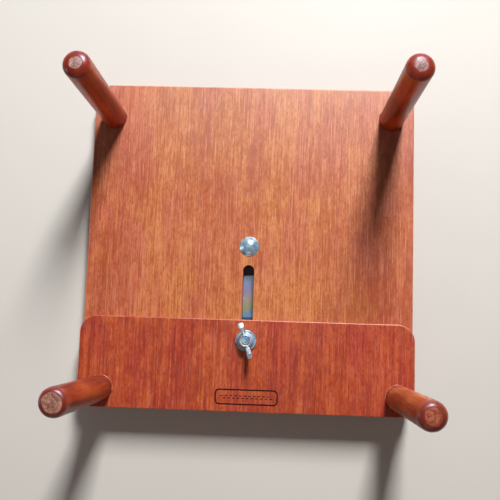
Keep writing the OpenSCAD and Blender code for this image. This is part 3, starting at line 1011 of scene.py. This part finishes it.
def build_screw(name, cx, cy, head_z, tip_z):
    """Pan-head wood screw, head down, with a cross recess and a coarse thread."""
    head_r, head_h = 4 * MM, 2.6 * MM
    bm = bmesh.new()
    seat_z, seat_chamfer = head_z + head_h, 0.2 * MM
    profile = [(0, seat_z), (head_r - seat_chamfer, seat_z), (head_r, seat_z - seat_chamfer)]
    profile += [(head_r - 1.5 * MM * (1 - math.cos(t)), head_z + head_h * 0.72 * (1 - math.sin(t)))
                for t in (math.pi / 2 * k / 8 for k in range(9))]
    profile.append((0, head_z))
    lathe(bm, profile, (cx, cy), 40)
    head = finish_mesh(bm, name, [ZINC], 35, False)
    bm = bmesh.new()
    arm, wide, deep = 2.1 * MM, 0.45 * MM, 1.6 * MM
    shrink = 0.35
    for along, across in ((arm, wide), (wide, arm)):
        top = [(-along, -across), (along, -across), (along, across), (-along, across)]
        lower = [bm.verts.new((cx + x, cy + y, head_z - 0.5 * MM)) for x, y in top]
        upper = [bm.verts.new((cx + x * shrink, cy + y * shrink, head_z + deep)) for x, y in top]
        bridge(bm, lower, upper)
        bm.faces.new(lower)
        bm.faces.new(upper)
    cutter = finish_mesh(bm, name + "_cutter", [], 35, False)
    cut = head.modifiers.new("cross", "BOOLEAN")
    cut.operation = "DIFFERENCE"
    cut.solver = "EXACT"
    cut.use_self = True
    cut.object = cutter
    bpy.context.view_layer.update()
    apply_modifiers(head)
    bpy.data.objects.remove(cutter)
    bm = bmesh.new()
    bm.from_mesh(head.data)
    threaded(bm, SCREW_R, seat_z - 0.1 * MM, tip_z, SCREW_PITCH, (cx, cy), 20)
    bm.to_mesh(head.data)
    bm.free()
    shade_smooth(head.data, 35)
    return head


def build_feet():
    washers_low, washers_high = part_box("foot_washers")
    screws_low, screws_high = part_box("foot_screws")
    for k, node in enumerate(FEET):
        build_foot(node)
        cx, cy = middle(node)
        washer = build_washer(node + "_washer", cx, cy, washers_low.z, washers_high.z,
                              FOOT_WASHER_R, SCREW_R + 0.1 * MM)
        screw = build_screw(node + "_screw", cx, cy, screws_low.z, screws_high.z)
        # The first washer and screw stand for all four of each.
        place(washer, "base", "zinc_steel", *(["foot_washers"] if k == 0 else []))
        place(screw, "base", "zinc_steel", *(["foot_screws"] if k == 0 else []))


build_base_board()
build_sliding_plate()
for seed, peg in enumerate(PEGS, 1):
    build_peg(*peg, seed)
build_clamp_bolt()
build_stop_bolt()
build_stop_nut()
build_strip()
clamp_washer = build_washer("clamp_washer_body", 0, CLAMP_Y, washer_low.z, washer_high.z,
                            (washer_high.x - washer_low.x) / 2, BORE_R)
place(clamp_washer, "washer", "zinc_steel", "clamp_washer")
build_wing_nut()
build_feet()

# ---- 5. floor, lights, camera
BACKDROP = (0.56, 0.56, 0.57, 1)
FLOOR_HALF = 3.0
FADE_FROM, FADE_TO = 0.45, 1.25


def pale_floor():
    """A plain floor that the camera sees fade into the backdrop well away from the object."""
    bm = bmesh.new()
    corners = [(x * FLOOR_HALF, y * FLOOR_HALF) for x, y in ((-1, -1), (1, -1), (1, 1), (-1, 1))]
    bm.faces.new(add_ring(bm, corners, 0))
    g = Graph("pale floor")
    mottle = g.noise(g.position(), (6, 6, 6), detail=4.0)
    g.set(Base_Color=g.mix(mottle, (0.70, 0.68, 0.64), (0.76, 0.74, 0.70)), Roughness=0.6)
    reach = g.add("ShaderNodeVectorMath", {0: g.position()}, operation="LENGTH").outputs["Value"]
    seen = g.add("ShaderNodeLightPath").outputs["Is Camera Ray"]
    far = g.times(g.between(reach, FADE_FROM, FADE_TO), seen)
    glow = g.add("ShaderNodeEmission", {"Color": BACKDROP}).outputs["Emission"]
    faded = g.add("ShaderNodeMixShader", {"Fac": far, 1: g.shader.outputs["BSDF"], 2: glow})
    g.put(g.tree.nodes["Material Output"].inputs["Surface"], faded.outputs["Shader"])
    floor = finish_mesh(bm, "floor", [g.material], flat_weight=False)


def area_light(name, at, target, size, power, colour):
    lamp = bpy.data.lights.new(name, "AREA")
    lamp.shape = "RECTANGLE"
    lamp.size, lamp.size_y = size
    lamp.energy = power
    lamp.color = colour
    holder = bpy.data.objects.new(name, lamp)
    holder.location = at
    holder.rotation_euler = (Vector(target) - Vector(at)).to_track_quat("-Z", "Y").to_euler()
    bpy.context.scene.collection.objects.link(holder)


# Name, place, target, size, watts and colour.
LIGHTS = (
    ("window", (0.25, 1.10, 1.09), (0, 0, 0.02), (0.29, 0.56), 32.5, (1.0, 0.98, 0.96)),
    ("sky", (-0.1, 1.9, 1.15), (0, 0, 0), (1.8, 1.0), 3, (0.62, 0.76, 1.0)),
    ("overhead", (-0.05, 0.05, 1.45), (0, 0, 0), (0.36, 0.36), 0.085, (1.0, 0.96, 0.94)),
    ("front", (-0.25, -1.30, 0.80), (0, 0, 0.03), (0.9, 0.6), 1.8, (1.0, 0.70, 0.58)),
    ("side", (-1.25, -0.15, 0.42), (0, 0, 0.02), (0.20, 0.20), 1.1, (0.85, 0.93, 1.0)),
)


def studio():
    """Soft lights, a faint warm ambient light, and a backdrop that only the camera sees."""
    for light in LIGHTS:
        area_light(*light)
    world = bpy.data.worlds.new("studio")
    world.use_nodes = True
    tree = world.node_tree
    ambient = tree.nodes["Background"]
    ambient.inputs["Color"].default_value = (1.0, 0.86, 0.80, 1)
    ambient.inputs["Strength"].default_value = 0.06
    backdrop = tree.nodes.new("ShaderNodeBackground")
    backdrop.inputs["Color"].default_value = BACKDROP
    seen = tree.nodes.new("ShaderNodeLightPath")
    either = tree.nodes.new("ShaderNodeMixShader")
    tree.links.new(seen.outputs["Is Camera Ray"], either.inputs["Fac"])
    tree.links.new(ambient.outputs["Background"], either.inputs[1])
    tree.links.new(backdrop.outputs["Background"], either.inputs[2])
    tree.links.new(either.outputs["Shader"], tree.nodes["World Output"].inputs["Surface"])
    bpy.context.scene.world = world
    bpy.context.scene.view_settings.view_transform = "Standard"


def camera():
    """Almost straight above the board, a little towards the sliding plate."""
    at = Vector((20.6, -66.1, 570.4)) * MM
    aim = Vector((0.5, -3.7, 16.5)) * MM
    roll = math.radians(1.86)
    back = (at - aim).normalized()
    right = Vector((-math.sin(roll), math.cos(roll), 0)).cross(back).normalized()
    up = back.cross(right)
    lens = bpy.data.cameras.new("camera")
    lens.sensor_width = 36
    lens.lens = 51.5
    lens.clip_start = 0.01
    view = bpy.data.objects.new("camera", lens)
    view.matrix_world = Matrix.Translation(at) @ Matrix((right, up, back)).transposed().to_4x4()
    bpy.context.scene.collection.objects.link(view)
    bpy.context.scene.camera = view


pale_floor()
studio()
camera()
